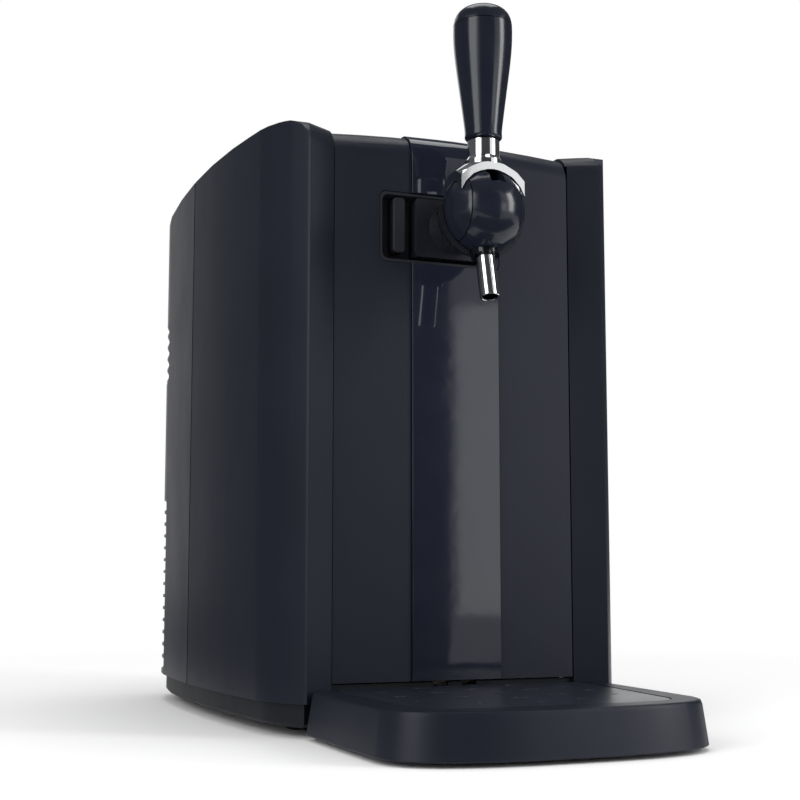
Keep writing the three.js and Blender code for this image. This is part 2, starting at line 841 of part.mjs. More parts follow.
function powerInlet() {
  const face = rearY - inlet.setBack;
  const flangeBack = rearY - side.wall - seatGap;
  const box = (halfX, halfZ, front, back) => block(inlet.x - halfX, inlet.x + halfX, front, back,
    inlet.z - halfZ, inlet.z + halfZ);
  const rear = face - bayDepth * inlet.depthShare;
  const body = join(box(inlet.noseX, inlet.noseZ, rear, face),
    box(inlet.flangeX, inlet.flangeZ, flangeBack - inlet.flangeThickness, flangeBack));
  const mouth = box(inlet.noseX - inlet.wall, inlet.noseZ - inlet.wall,
    rear + inlet.flangeThickness, face + overrun);
  const pinLength = bayDepth * inlet.pinShare;
  const pins = [[-inlet.pinX, -inlet.pinZ], [inlet.pinX, -inlet.pinZ], [0, inlet.pinZ]];
  return join(cut(body, mouth), ...pins.map(([x, z]) => block(
    inlet.x + x - inlet.pinWide, inlet.x + x + inlet.pinWide, rear, rear + pinLength,
    inlet.z + z - inlet.pinTall / 2, inlet.z + z + inlet.pinTall / 2)));
}

const rockerY = rearY - rocker.setBack - rocker.thickness / 2;

function switchFrame() {
  const face = rearY - inlet.setBack;
  const flangeBack = rearY - side.wall - seatGap;
  const box = (halfX, halfZ, front, back) => block(rocker.x - halfX, rocker.x + halfX, front, back,
    rocker.z - halfZ, rocker.z + halfZ);
  const body = join(box(rocker.noseX, rocker.noseZ, face - rocker.depth, face),
    box(rocker.noseX + rocker.flange, rocker.noseZ + rocker.flange,
      flangeBack - rocker.flange, flangeBack));
  const mouth = box(rocker.noseX - rocker.wall, rocker.noseZ - rocker.wall,
    face - rocker.depth + rocker.flange, face + overrun);
  const reach = rocker.noseX - rocker.wall / 2;
  const axle = bar([rocker.x - reach, rockerY, rocker.z], [rocker.x + reach, rockerY, rocker.z],
    rocker.axle, smallSides);
  return join(cut(body, mouth), axle);
}

// Tips about its own origin on the axle of the switch
function switchRocker() {
  const half = rocker.thickness / 2;
  const body = block(-rocker.halfX, rocker.halfX, -half, half, -rocker.halfZ, rocker.halfZ);
  const bore = bar([-bodyWidth, 0, 0], [bodyWidth, 0, 0], rocker.axle + seatGap, smallSides);
  return cut(body, bore);
}

// Air supply

const pump = {
  x: -60,
  placeShare: 0.4,
  halfX: 20,
  halfShare: 0.24,
  height: 24,
  motorRadius: 13,
  motorShare: 0.136,
  motorEndShare: 0.345,
  motorRise: 16,
  nozzle: 2.4,
  nozzleRise: 8,
};
const pumpY = chamber.foamBack + bayDepth * pump.placeShare;
const pumpHalf = bayDepth * pump.halfShare;
const hose = { radius: 3, sides: 6, steps: 28, lead: 14, bend: 50, sideX: -88, sideShare: 0.21 };
const guide = { outer: 13, bore: 9.4, low: 334, ear: 5 };
const coupler = {
  stem: 8.9,
  stemTop: 346,
  head: 15,
  headLow: 316,
  headHigh: 328,
  headEase: 2,
  bore: 4.5,
};

function airPump() {
  const top = floorZ + pump.height;
  const body = risen(roundedRectangle(pump.x - pump.halfX, pump.x + pump.halfX,
    pumpY - pumpHalf, pumpY + pumpHalf, supply.ease), floorZ, top);
  const motorZ = floorZ + pump.motorRise;
  const motor = bar([pump.x, pumpY - bayDepth * pump.motorShare, motorZ],
    [pump.x, pumpY + bayDepth * pump.motorEndShare, motorZ], pump.motorRadius);
  const nozzle = bar([pump.x, pumpY - pumpHalf / 2, top - overrun],
    [pump.x, pumpY - pumpHalf / 2, top + pump.nozzleRise], pump.nozzle, smallSides);
  return join(body, motor, nozzle);
}

function airHose() {
  const start = floorZ + pump.height + pump.nozzleRise + seatGap;
  const nozzleY = pumpY - pumpHalf / 2;
  const sideY = chamber.foamBack + bayDepth * hose.sideShare;
  const mouthY = chamber.y + Math.sqrt(chamber.radius ** 2 - hosePort.x ** 2);
  const path = new THREE.CatmullRomCurve3([
    new THREE.Vector3(pump.x, nozzleY, start),
    new THREE.Vector3(pump.x, nozzleY, start + hose.lead),
    new THREE.Vector3(hose.sideX, sideY, start + hose.bend),
    new THREE.Vector3(hose.sideX, sideY, hosePort.z - hose.bend),
    new THREE.Vector3(hosePort.x - hose.lead, sideY, hosePort.z),
    new THREE.Vector3(hosePort.x, chamber.foamBack + hose.lead, hosePort.z),
    new THREE.Vector3(hosePort.x, chamber.foamBack, hosePort.z),
    new THREE.Vector3(hosePort.x, mouthY, hosePort.z),
    new THREE.Vector3(hosePort.x, mouthY - hose.lead, hosePort.z),
    new THREE.Vector3(0, chamber.y + guide.outer + hose.lead, hoseEndZ),
    new THREE.Vector3(0, chamber.y + guide.outer + seatGap, hoseEndZ),
  ], false, 'centripetal');
  const points = span(0, 4 * quarter, hose.sides).slice(0, -1).map((angle) => (
    [hose.radius * Math.cos(angle), hose.radius * Math.sin(angle)]));
  return solid(new THREE.ExtrudeGeometry(outline(points), { steps: hose.steps, extrudePath: path }));
}

const hoseEndZ = (guide.low + chamber.high) / 2;

function couplerGuide() {
  const high = chamber.high - seatGap;
  return turned([
    [guide.bore, guide.low], [guide.outer, guide.low], [guide.outer, high - guide.ear],
    [guide.outer + guide.ear, high - guide.ear / 2], [guide.outer + guide.ear, high],
    [guide.bore, high], [guide.bore, guide.low],
  ], roundSides);
}

function kegCoupler() {
  return turned([
    [coupler.bore, coupler.headLow], [coupler.head, coupler.headLow],
    [coupler.head, coupler.headHigh - coupler.headEase],
    [coupler.head - coupler.headEase, coupler.headHigh], [coupler.stem, coupler.headHigh],
    [coupler.stem, coupler.stemTop], [coupler.bore, coupler.stemTop],
    [coupler.bore, coupler.headLow],
  ], roundSides);
}

// Door

const door = {
  wall: 3,
  pocketRight: 66,
  pocketTop: 348,
  stripHalf: 29.3,
  stripRise: 1.5,
  stripSink: 1.5,
  linerLeft: -71,
  linerRight: 57,
  linerLow: 53,
  linerHigh: 330,
  linerDepth: 3.4,
  linerRadius: 8,
  linerDish: 1.4,
  linerRim: 7,
  gasketLeft: -78.4,
  gasketRight: 73.2,
  gasketLow: 46,
  gasketHigh: 337.5,
  gasketWidth: 4,
  gasketRadius: 10,
};
const bracket = {
  low: 340,
  high: 343,
  half: 3.2,
  footLow: 349,
  footThickness: 2,
  pinLow: 340,
  pinTop: 353,
  notchLeft: 65,
  notchFront: 1.4,
};
const pinBottom = { low: 19.6, top: 46 };
const recess = {
  left: -50.6,
  right: 30.8,
  low: 285.6,
  high: 330.3,
  radius: 4,
  wall: 1.8,
  floor: 13,
  back: 15,
};
const grip = {
  left: -40.6,
  right: -32.6,
  low: 292.5,
  high: 327.8,
  front: 2,
  radius: 2.6,
};
const neck = {
  left: -26.3,
  right: 27.8,
  low: 290.5,
  high: 327.8,
  front: 0.4,
  radius: 2,
  stub: 14,
  flare: 17.2,
  flareDepth: 9,
  socketWall: 3.2,
  socketFront: 2.5,
  socketTop: 1.5,
};
const display = { half: 21, low: 236, high: 270, thickness: 1.6 };

function stripForm(grow) {
  return crownedBlock({
    half: door.stripHalf + grow,
    front: -door.stripRise,
    back: doorDepth,
    low: doorBottom,
    round: doorDepth + door.stripRise,
    lift: door.stripRise,
  });
}

function stripCore(depth) {
  return crownedBlock({
    half: doorHalf,
    front: depth,
    back: doorDepth + overrun,
    low: doorBottom - overrun,
    round: doorDepth - depth,
    lift: -depth,
  });
}

function strip(low, high) {
  const sheet = cut(stripForm(0), stripCore(door.stripSink));
  return common(sheet, block(-doorHalf, doorHalf, -overrun, doorDepth, low, high));
}

function recessForm(shrink, front, back) {
  return lengthwise(roundedRectangle(recess.left + shrink, recess.right - shrink,
    recess.low + shrink, recess.high - shrink, recess.radius), front, back);
}

function doorPanel() {
  const form = crownedBlock({
    half: doorHalf, front: 0, back: doorDepth, low: doorBottom, round: doorDepth,
  });
  const channel = cut(stripForm(seatGap), stripCore(door.stripSink + seatGap));
  const pocket = block(-doorHalf + door.wall, door.pocketRight, door.wall, doorDepth + overrun,
    doorBottom + door.wall, door.pocketTop);
  const notch = block(bracket.notchLeft, doorHalf + overrun, bracket.notchFront,
    doorDepth + overrun, bracket.low - swingGap, bracket.high + swingGap);
  const bores = [
    bar([hinge.x, hinge.y, bracket.low], [hinge.x, hinge.y, bracket.pinTop + swingGap],
      hinge.bore, smallSides),
    bar([hinge.x, hinge.y, 0], [hinge.x, hinge.y, pinBottom.top + swingGap],
      hinge.bore, smallSides),
  ];
  return cut(form, channel, pocket, notch, recessForm(0, -overrun, recess.back + seatGap), ...bores);
}

function doorFoam() {
  const body = block(-doorHalf + door.wall + seatGap, door.pocketRight - seatGap,
    door.wall + seatGap, doorDepth - seatGap, doorBottom + door.wall + seatGap,
    door.pocketTop - seatGap);
  const seat = block(-display.half - seatGap, display.half + seatGap, 0,
    door.wall + display.thickness + seatGap * 2, display.low - seatGap, display.high + seatGap);
  return cut(body, recessForm(-seatGap, -overrun, recess.back + seatGap), seat);
}

function doorLiner() {
  const front = doorDepth + seatGap;
  const back = front + door.linerDepth;
  const plate = lengthwise(roundedRectangle(door.linerLeft, door.linerRight, door.linerLow,
    door.linerHigh, door.linerRadius), front, back);
  const rim = door.linerRim;
  const dish = lengthwise(roundedRectangle(door.linerLeft + rim, door.linerRight - rim,
    door.linerLow + rim, door.linerHigh - rim, door.linerRadius / 2), back - door.linerDish,
    back + overrun);
  return cut(plate, dish);
}

function doorGasket() {
  const front = doorDepth + seatGap;
  const back = frame.front - seatGap;
  const ring = (shrink, near, far) => lengthwise(roundedRectangle(door.gasketLeft + shrink,
    door.gasketRight - shrink, door.gasketLow + shrink, door.gasketHigh - shrink,
    door.gasketRadius - shrink), near, far);
  return cut(ring(0, front, back), ring(door.gasketWidth, front - overrun, back + overrun));
}

function hingeBracket() {
  const back = frame.front - seatGap;
  const plate = join(
    block(hinge.x - bracket.half, hinge.x + bracket.half, hinge.y, back, bracket.low, bracket.high),
    bar([hinge.x, hinge.y, bracket.low], [hinge.x, hinge.y, bracket.high], bracket.half));
  const rise = block(hinge.x - bracket.half, hinge.x + bracket.half, back - bracket.footThickness,
    back, bracket.low, bracket.footLow);
  const bore = bar([hinge.x, hinge.y, 0], [hinge.x, hinge.y, roofTop], hinge.bore, smallSides);
  return cut(join(plate, rise), bore);
}

function hingePin(low, top) {
  return bar([hinge.x, hinge.y, low], [hinge.x, hinge.y, top], hinge.pinRadius, smallSides);
}

function gripCup() {
  return cut(recessForm(seatGap, seatGap, recess.back),
    recessForm(seatGap + recess.wall, -overrun, recess.floor));
}

function gripBlock() {
  return lengthwise(roundedRectangle(grip.left, grip.right, grip.low, grip.high, grip.radius),
    grip.front, recess.floor - seatGap);
}

function neckBlock() {
  const plate = lengthwise(roundedRectangle(neck.left, neck.right, neck.low, neck.high, neck.radius),
    neck.front, recess.floor - seatGap);
  const stub = bar([tapX, neck.front + overrun, tapZ], [tapX, tapY, tapZ], neck.stub, fineSides);
  const flare = bar([tapX, neck.front, tapZ], [tapX, neck.front - neck.flareDepth, tapZ],
    neck.flare, fineSides, neck.stub);
  const place = [tapX, tapY, tapZ];
  const reach = ballRadius + neck.socketWall;
  const socket = common(ball(reach, fineSides, place), block(tapX - reach, tapX + reach,
    tapY + neck.socketFront, tapY + reach, tapZ - reach, tapZ + neck.socketTop));
  const room = ball(ballRadius + seatGap, fineSides, place);
  const [from, to] = [-1, 1].map((share) => spoutPoint(share).map((v, axis) => v + place[axis]));
  const passage = bar(from, to, spout.collar + seatGap);
  return cut(join(plate, stub, flare, cut(socket, passage)), room);
}

function displayBoard() {
  const front = door.wall + seatGap;
  return block(-display.half, display.half, front, front + display.thickness, display.low,
    display.high);
}

// Tap, in its own frame with the middle of the ball as the origin

const tap = {
  seam: 15.7,
  axleRadius: 3,
  slotHalf: 4.6,
  travel: 50,
  hubRadius: 7,
  hubHalf: 4,
  rodRadius: 3.4,
  rodTop: 33,
  saddleWall: 3.9,
  saddleHalfX: 20.5,
  saddleHalfY: 13.7,
  stemRadius: 9.7,
  stemTop: 43.6,
  flare: 1.6,
  flareRise: 2.4,
  edge: 1.2,
};
const handle = {
  low: 43.9,
  radius: 17.9,
  lowShare: 0.608,
  lowEaseShare: 0.13,
  highShare: 0.8467,
  shoulderShare: 0.17,
  domePower: 0.8,
};
// Radius against the widest one, and height between the two ends of the grip
const gripShares = [[0.62, 0.012], [0.642, 0.035], [0.66, 0.1], [0.777, 0.388], [0.927, 0.712],
  [0.98, 0.84], [1, 0.928], [1, 0.985]];
const handleTop = overallHeight - tapZ;
const gripTop = handle.low + (handleTop - handle.low) * handle.highShare;
const spout = {
  radius: 5.9,
  bore: 4.6,
  topY: 1.1,
  topZ: -17,
  bottomY: -7.7,
  bottomZ: -54,
  collar: 8.7,
  collarTopShare: 0.12,
  collarEndShare: 0.3,
};

function spoutPoint(share) {
  return [0, spout.topY + share * (spout.bottomY - spout.topY),
    spout.topZ + share * (spout.bottomZ - spout.topZ)];
}

function tapBody() {
  const seam = tap.seam - seatGap / 2;
  const reach = ballRadius + overrun;
  const core = common(ball(ballRadius), block(-seam, seam, -reach, reach, -reach, reach));
  const far = 2 * ballRadius;
  const wide = tap.rodRadius + swingGap;
  const turn = THREE.MathUtils.degToRad(tap.travel);
  const ahead = [-wide * Math.cos(turn), -wide * Math.sin(turn)];
  const slot = [
    [wide, 0], [wide, far], [-far * Math.tan(turn / 2), far],
    [ahead[0] - far * Math.sin(turn), ahead[1] + far * Math.cos(turn)], ahead,
  ];
  const sweep = crosswise(outline(slot), -tap.slotHalf, tap.slotHalf);
  const hub = bar([-tap.slotHalf, 0, 0], [tap.slotHalf, 0, 0], tap.hubRadius + swingGap);
  const axle = bar([-reach, 0, 0], [reach, 0, 0], tap.axleRadius + seatGap, smallSides);
  const seat = bar(spoutPoint(0), spoutPoint(1), spout.radius + seatGap);
  return cut(core, sweep, hub, axle, seat);
}

function tapCap(hand) {
  const seam = tap.seam + seatGap / 2;
  const reach = ballRadius + overrun;
  const [left, right] = hand > 0 ? [seam, reach] : [-reach, -seam];
  return common(ball(ballRadius), block(left, right, -reach, reach, -reach, reach));
}

function tapAxle() {
  const half = tap.seam - seatGap / 2;
  return bar([-half, 0, 0], [half, 0, 0], tap.axleRadius, smallSides);
}

function tapLever() {
  const hub = bar([-tap.hubHalf, 0, 0], [tap.hubHalf, 0, 0], tap.hubRadius);
  const rod = bar([0, 0, 0], [0, 0, tap.rodTop], tap.rodRadius, smallSides);
  const bore = bar([-tap.seam, 0, 0], [tap.seam, 0, 0], tap.axleRadius + seatGap, smallSides);
  return cut(join(hub, rod), bore);
}

function tapSaddle() {
  const inner = ballRadius + swingGap;
  const outer = inner + tap.saddleWall;
  const shell = common(ball(outer), block(-tap.saddleHalfX, tap.saddleHalfX, -tap.saddleHalfY,
    tap.saddleHalfY, 0, outer));
  const stem = turned([
    [0, 0], [tap.stemRadius + tap.flare, 0], [tap.stemRadius + tap.flare, outer],
    [tap.stemRadius, outer + tap.flareRise], [tap.stemRadius, tap.stemTop - tap.edge],
    [tap.stemRadius - tap.edge, tap.stemTop], [0, tap.stemTop],
  ]);
  const bore = bar([0, 0, 0], [0, 0, tap.rodTop + seatGap], tap.rodRadius + seatGap, smallSides);
  return cut(join(shell, stem), ball(inner), bore);
}

function handleGrip() {
  const tall = gripTop - handle.low;
  const low = handle.radius * (handle.lowShare - handle.lowEaseShare);
  return turned([
    [0, handle.low], [low, handle.low],
    ...gripShares.map(([radius, height]) => [radius * handle.radius, handle.low + height * tall]),
    [handle.radius - lineGap, gripTop], [0, gripTop],
  ]);
}

function handleCap() {
  const low = gripTop + seatGap;
  const shoulder = low + (handleTop - low) * handle.shoulderShare;
  const dome = span(0, quarter, arcSteps - 1).map((angle, k, all) => {
    const radius = k === all.length - 1 ? 0 : handle.radius * Math.cos(angle) ** handle.domePower;
    return [radius, shoulder + (handleTop - shoulder) * Math.sin(angle)];
  });
  return turned([[0, low], [handle.radius - lineGap, low], ...dome]);
}

function tapSpout() {
  return cut(bar(spoutPoint(0), spoutPoint(1), spout.radius),
    bar(spoutPoint(-1), spoutPoint(2), spout.bore));
}

function spoutCollar() {
  const ring = cut(
    bar(spoutPoint(spout.collarTopShare), spoutPoint(spout.collarEndShare), spout.collar),
    bar(spoutPoint(-1), spoutPoint(2), spout.radius + seatGap));
  return cut(ring, ball(ballRadius + seatGap));
}

// Drip tray

const tray = {
  half: 99.3,
  low: 2.5,
  footEase: 0.8,
  draft: 3,
  shoulder: 24.6,
  rim: 26.5,
  top: 27.2,
  rimEase: 0.8,
  topEase: 2.4,
  basinFloor: 5.5,
  floorLap: 4,
  gridLow: 23.6,
  gridTop: 27,
  gridEase: 0.5,
  hookNear: 5.3,
  hookFar: 13.6,
  hookLow: 25.8,
  hookFront: -4,
  hookBack: 6.8,
  padRadius: 6,
};
// Right halves of the outlines, against the half width of the tray and its reach
const trayShares = [
  [0.815, 0.008], [1, -0.085], [0.987, -0.468], [0.968, -0.756], [0.943, -0.817], [0.888, -0.874],
  [0.803, -0.92], [0.694, -0.954], [0.487, -0.986], [0.242, -1],
];
const gridShares = [
  [0.769, -0.041], [0.8, -0.058], [0.82, -0.107], [0.824, -0.178], [0.754, -0.764],
  [0.721, -0.812], [0.645, -0.844], [0.403, -0.863],
];
const basinShares = [
  [0.685, -0.065], [0.745, -0.097], [0.769, -0.181], [0.705, -0.744], [0.645, -0.796],
  [0.403, -0.831],
];
const padShares = [[0.705, -0.22], [0.624, -0.79]];
// Place and half length of the openings in the grid
const lensShares = [
  [0, -0.372, 0.077], [0, -0.181, 0.056], [0, -0.557, 0.056], [0, -0.738, 0.038],
  [0.297, -0.265, 0.056], [0.297, -0.466, 0.056], [0.297, -0.081, 0.036], [0.297, -0.667, 0.039],
  [0.594, -0.372, 0.039], [0.594, -0.181, 0.033], [0.594, -0.557, 0.033],
];
const lensDepthShare = 0.52;

function onTray(shares) {
  return shares.map(([x, y]) => [x * tray.half, y * trayReach]);
}

// A closed outline with every corner moved inwards
function shrunk(points, inset) {
  const clockwise = THREE.ShapeUtils.isClockWise(points.map(([x, y]) => new THREE.Vector2(x, y)));
  const hand = clockwise ? -1 : 1;
  return points.map(([x, y], k) => {
    const here = new THREE.Vector2(x, y);
    const before = new THREE.Vector2(...points[(k + points.length - 1) % points.length]);
    const after = new THREE.Vector2(...points[(k + 1) % points.length]);
    const first = here.clone().sub(before).normalize();
    const second = after.sub(here).normalize();
    const bisector = new THREE.Vector2(-first.y - second.y, first.x + second.x).normalize();
    const scale = Math.max(bisector.x * -second.y + bisector.y * second.x, 1 / 2);
    return [x + (hand * bisector.x * inset) / scale, y + (hand * bisector.y * inset) / scale];
  });
}

function trayStack(shares, levels) {
  const points = mirrored(onTray(shares));
  const rings = levels.map(([inset, z]) => shrunk(points, inset).map(([x, y]) => [x, y, z]));
  return loft(rings, ([x, y]) => [x, y]);
}

function dripTray() {
  const form = trayStack(trayShares, [
    [tray.footEase, tray.low], [0, tray.low + tray.footEase], [tray.draft, tray.shoulder],
    [tray.draft + tray.rimEase, tray.rim], [tray.draft + tray.topEase, tray.top],
  ]);
  const basin = trayStack(basinShares, [[0, tray.basinFloor], [0, tray.top + overrun]]);
  const seat = trayStack(basinShares, [
    [-tray.floorLap - seatGap, tray.low - overrun],
    [-tray.floorLap - seatGap, tray.basinFloor + seatGap],
  ]);
  const rebate = trayStack(gridShares, [[-seatGap, tray.gridLow - seatGap],
    [-seatGap, tray.top + overrun]]);
  const hooks = [1, -1].map((hand) => {
    const xs = [hand * tray.hookNear, hand * tray.hookFar].sort((a, b) => a - b);
    return block(xs[0], xs[1], tray.hookFront, tray.hookBack, tray.hookLow, tray.top);
  });
  return join(cut(form, basin, seat, rebate), ...hooks);
}

// The floor is clipped in from below, under the walls
function trayFloor() {
  return trayStack(basinShares, [
    [tray.footEase - tray.floorLap, tray.low], [-tray.floorLap, tray.low + tray.footEase],
    [-tray.floorLap, tray.basinFloor],
  ]);
}

function lens([x, y, half]) {
  const points = [];
  const reach = half * tray.half;
  const put = (share, depth) => points.push([
    x * tray.half + reach * share, y * trayReach + depth * reach * (1 - share ** 2)]);
  span(-1, 1, 4).forEach((share) => put(share, lensDepthShare));
  span(1, -1, 4).slice(1, -1).forEach((share) => put(share, -lensDepthShare));
  return risen(outline(points), tray.gridLow - overrun, tray.gridTop + overrun);
}

function dripGrid() {
  const sheet = trayStack(gridShares, [[0, tray.gridLow], [0, tray.gridTop - tray.gridEase],
    [tray.gridEase, tray.gridTop]]);
  const holes = lensShares.flatMap(([x, y, half]) => (
    x > 0 ? [[x, y, half], [-x, y, half]] : [[x, y, half]])).map(lens);
  return cut(sheet, ...holes);
}

function trayPad() {
  const top = tray.low - seatGap;
  return turned([[0, 0], [tray.padRadius, 0], [tray.padRadius, top], [0, top]], smallSides);
}

// Assembly

const machine = new THREE.Group();
machine.add(
  piece('side_panel_left', 'satinNavy', sidePanel(-1)),
  piece('side_panel_right', 'satinNavy', sidePanel(1)),
  piece('roof_cover', 'satinNavy', roofCover()),
  piece('rear_cover', 'satinNavy', rearCover()),
  piece('base_pan', 'darkPlastic', basePan()),
  piece('front_frame', 'steel', frontFrame()),
  piece('chamber_liner', 'greyPlastic', chamberLiner()),
  piece('chamber_insulation', 'foam', chamberFoam()),
  piece('keg_seat', 'rubber', kegSeat(), 0, chamber.y, 0),
  piece('cold_plate', 'aluminium', coldPlate()),
  piece('cooler_module', 'ceramic', coolerModule()),
  piece('heat_sink', 'aluminium', heatSink()),
  piece('fan_frame', 'darkPlastic', fanFrame()),
  piece('fan_rotor', 'darkPlastic', fanRotor(), 0, fanFront, cooler.z),
  piece('power_supply', 'steel', powerSupply()),
  piece('control_board', 'board', controlBoard()),
  piece('power_inlet', 'darkPlastic', powerInlet()),
  piece('switch_frame', 'darkPlastic', switchFrame()),
  piece('switch_rocker', 'glossBlack', switchRocker(), rocker.x, rockerY, rocker.z),
  piece('air_pump', 'darkPlastic', airPump()),
  piece('air_hose', 'rubber', airHose()),
  piece('coupler_guide', 'greyPlastic', couplerGuide(), 0, chamber.y, 0),
  piece('keg_coupler', 'darkPlastic', kegCoupler(), 0, chamber.y, 0),
  piece('hinge_bracket', 'steel', hingeBracket()),
  piece('hinge_pin_top', 'steel', hingePin(bracket.pinLow, bracket.pinTop)),
  piece('hinge_pin_bottom', 'steel', hingePin(pinBottom.low, pinBottom.top)),
  piece('door_panel', 'satinNavy', doorPanel()),
  piece('strip_lower', 'glossNavy', strip(doorBottom, recess.low)),
  piece('strip_upper', 'glossNavy', strip(recess.high, roofTop + overrun)),
  piece('door_insulation', 'foam', doorFoam()),
  piece('door_liner', 'greyPlastic', doorLiner()),
  piece('door_gasket', 'rubber', doorGasket()),
  piece('display_board', 'board', displayBoard()),
  piece('grip_cup', 'glossBlack', gripCup()),
  piece('grip_block', 'darkPlastic', gripBlock()),
  piece('tap_neck', 'glossBlack', neckBlock()),
  piece('drip_tray', 'satinNavy', dripTray()),
  piece('tray_floor', 'darkPlastic', trayFloor()),
  piece('drip_grid', 'darkPlastic', dripGrid()),
);

const footBack = rearY - feet.backReach;
const footPlaces = [[-feet.x, feet.frontY], [feet.x, feet.frontY], [-feet.x, footBack],
  [feet.x, footBack]];
footPlaces.forEach(([x, y], k) => {
  machine.add(piece(`foot_${k + 1}`, 'rubber', foot(), x, y, 0));
});

mirrored(onTray(padShares)).forEach(([x, y], k) => {
  machine.add(piece(`tray_pad_${k + 1}`, 'rubber', trayPad(), x, y, 0));
});

const tapGroup = new THREE.Group();
tapGroup.add(
  piece('tap_body', 'glossNavy', tapBody()),
  piece('tap_cap_left', 'glossNavy', tapCap(-1)),
  piece('tap_cap_right', 'glossNavy', tapCap(1)),
  piece('tap_axle', 'steel', tapAxle()),
  piece('tap_lever', 'steel', tapLever()),
  piece('tap_saddle', 'chrome', tapSaddle()),
  piece('handle_grip', 'glossNavy', handleGrip()),
  piece('handle_cap', 'glossNavy', handleCap()),
  piece('spout', 'chrome', tapSpout()),
  piece('spout_collar', 'glossBlack', spoutCollar()),
);
tapGroup.position.set(tapX, tapY, tapZ);
machine.add(tapGroup);

machine.position.set(0, -middleY, 0);
const model = new THREE.Group();
model.add(machine);

export default model;
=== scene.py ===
import bpy
import json
from math import radians, sin, cos, tan
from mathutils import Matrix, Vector

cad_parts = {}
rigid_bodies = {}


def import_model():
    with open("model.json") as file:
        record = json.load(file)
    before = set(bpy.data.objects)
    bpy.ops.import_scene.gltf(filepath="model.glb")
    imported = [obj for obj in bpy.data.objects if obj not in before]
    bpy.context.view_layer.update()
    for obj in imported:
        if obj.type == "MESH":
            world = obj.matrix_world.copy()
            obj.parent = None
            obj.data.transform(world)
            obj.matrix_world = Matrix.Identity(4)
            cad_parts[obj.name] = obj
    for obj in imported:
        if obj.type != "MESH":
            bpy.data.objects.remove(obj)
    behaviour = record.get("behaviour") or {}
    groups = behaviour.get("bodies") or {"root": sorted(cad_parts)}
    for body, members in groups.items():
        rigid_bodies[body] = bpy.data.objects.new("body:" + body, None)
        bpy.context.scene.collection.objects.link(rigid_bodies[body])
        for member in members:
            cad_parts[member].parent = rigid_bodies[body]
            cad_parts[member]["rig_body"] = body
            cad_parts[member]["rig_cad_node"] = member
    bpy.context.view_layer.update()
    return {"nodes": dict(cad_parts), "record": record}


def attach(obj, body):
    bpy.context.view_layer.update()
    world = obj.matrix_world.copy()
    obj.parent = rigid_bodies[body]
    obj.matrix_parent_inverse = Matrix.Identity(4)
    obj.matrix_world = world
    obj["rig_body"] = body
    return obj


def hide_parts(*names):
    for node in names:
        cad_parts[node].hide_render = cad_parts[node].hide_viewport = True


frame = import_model()
scene = bpy.context.scene
nodes = frame["nodes"]
print("frame loaded:", len(nodes), "nodes")

camera = {
    "place": (-0.3290, -0.8492, 0.0936),
    "turn": 21.10,  # degrees from +Y towards +X
    "tilt": 6.226,  # degrees up
    "lens": 60.25,
    "sensor": 36.0,
    "shiftY": 0.0361,
    "clip": (0.01, 50),
}


def addCamera():
    data = bpy.data.cameras.new("photoCamera")
    data.lens = camera["lens"]
    data.sensor_width = camera["sensor"]
    data.sensor_fit = "HORIZONTAL"
    data.shift_y = camera["shiftY"]
    data.clip_start, data.clip_end = camera["clip"]
    eye = bpy.data.objects.new("photoCamera", data)
    eye.location = camera["place"]
    eye.rotation_euler = (radians(90 + camera["tilt"]), 0, radians(-camera["turn"]))
    scene.collection.objects.link(eye)
    scene.camera = eye


studio = {
    "worldLight": 0.5,
    "floorSize": 12.0,
    "floorColour": (0.93, 0.93, 0.93, 1),
    "floorShown": (1.0, 1.0, 1.0, 1),
    "floorFade": (0.45, 0.95),  # metres from the machine over which the floor turns plain white
    # name, place, aim, size across, size up, watts
    "lamps": [
        ("leftSoftbox", (-1.55, -0.90, 0.85), (0, 0, 0.2), 0.95, 1.4, 13),
        ("rightSoftbox", (1.50, -1.18, 0.80), (0, 0, 0.3), 0.5, 1.3, 15),
        ("topSoftbox", (0.1, 0.2, 2.4), (0, 0, 0.2), 1.6, 1.6, 24),
        ("frontSoftbox", (1.24, -2.13, 0.32), (0, -0.1, 0.2), 0.65, 0.85, 2.6),
    ],
    # name, bearing of the middle in degrees from -Y towards -X, width in degrees, glow
    "cards": [
        ("frontCard", 7, 59, 0.06),
        ("leftCard", 120, 90, 0.1),
        ("rightCard", -103, 74, 0.06),
    ],
    # dark cloths on the floor: name, place, turn in degrees, across, along, glow
    "cloths": [
        ("nearCloth", (0.15, -0.455), 0, 1.5, 0.39, 0.05),
        ("farCloth", (-0.418, -2.173), 23.25, 2.4, 2.4, 0.06),
        ("leftCloth", (-1.35, 0.9), 0, 2.3, 3.0, 0.1),
    ],
    "clothHeight": 0.0012,
    "cardReach": 2.6,
    "cardTop": 2.45,
    "ceilingGlow": 0.14,
    "cardTint": (0.9, 0.95, 1, 1),
}


def aimed(obj, target):
    direction = Vector(target) - obj.location
    obj.rotation_euler = direction.to_track_quat("-Z", "Y").to_euler()


def addWorld():
    world = bpy.data.worlds.new("studioWorld")
    scene.world = world
    world.use_nodes = True
    tree = world.node_tree
    tree.nodes.clear()
    out = tree.nodes.new("ShaderNodeOutputWorld")
    light = tree.nodes.new("ShaderNodeBackground")
    light.inputs["Color"].default_value = (1, 1, 1, 1)
    light.inputs["Strength"].default_value = studio["worldLight"]
    seen = tree.nodes.new("ShaderNodeBackground")
    seen.inputs["Color"].default_value = (1, 1, 1, 1)
    seen.inputs["Strength"].default_value = 1.0
    mix = tree.nodes.new("ShaderNodeMixShader")
    tree.links.new(shownRays(tree), mix.inputs[0])
    tree.links.new(light.outputs[0], mix.inputs[1])
    tree.links.new(seen.outputs[0], mix.inputs[2])
    tree.links.new(mix.outputs[0], out.inputs[0])


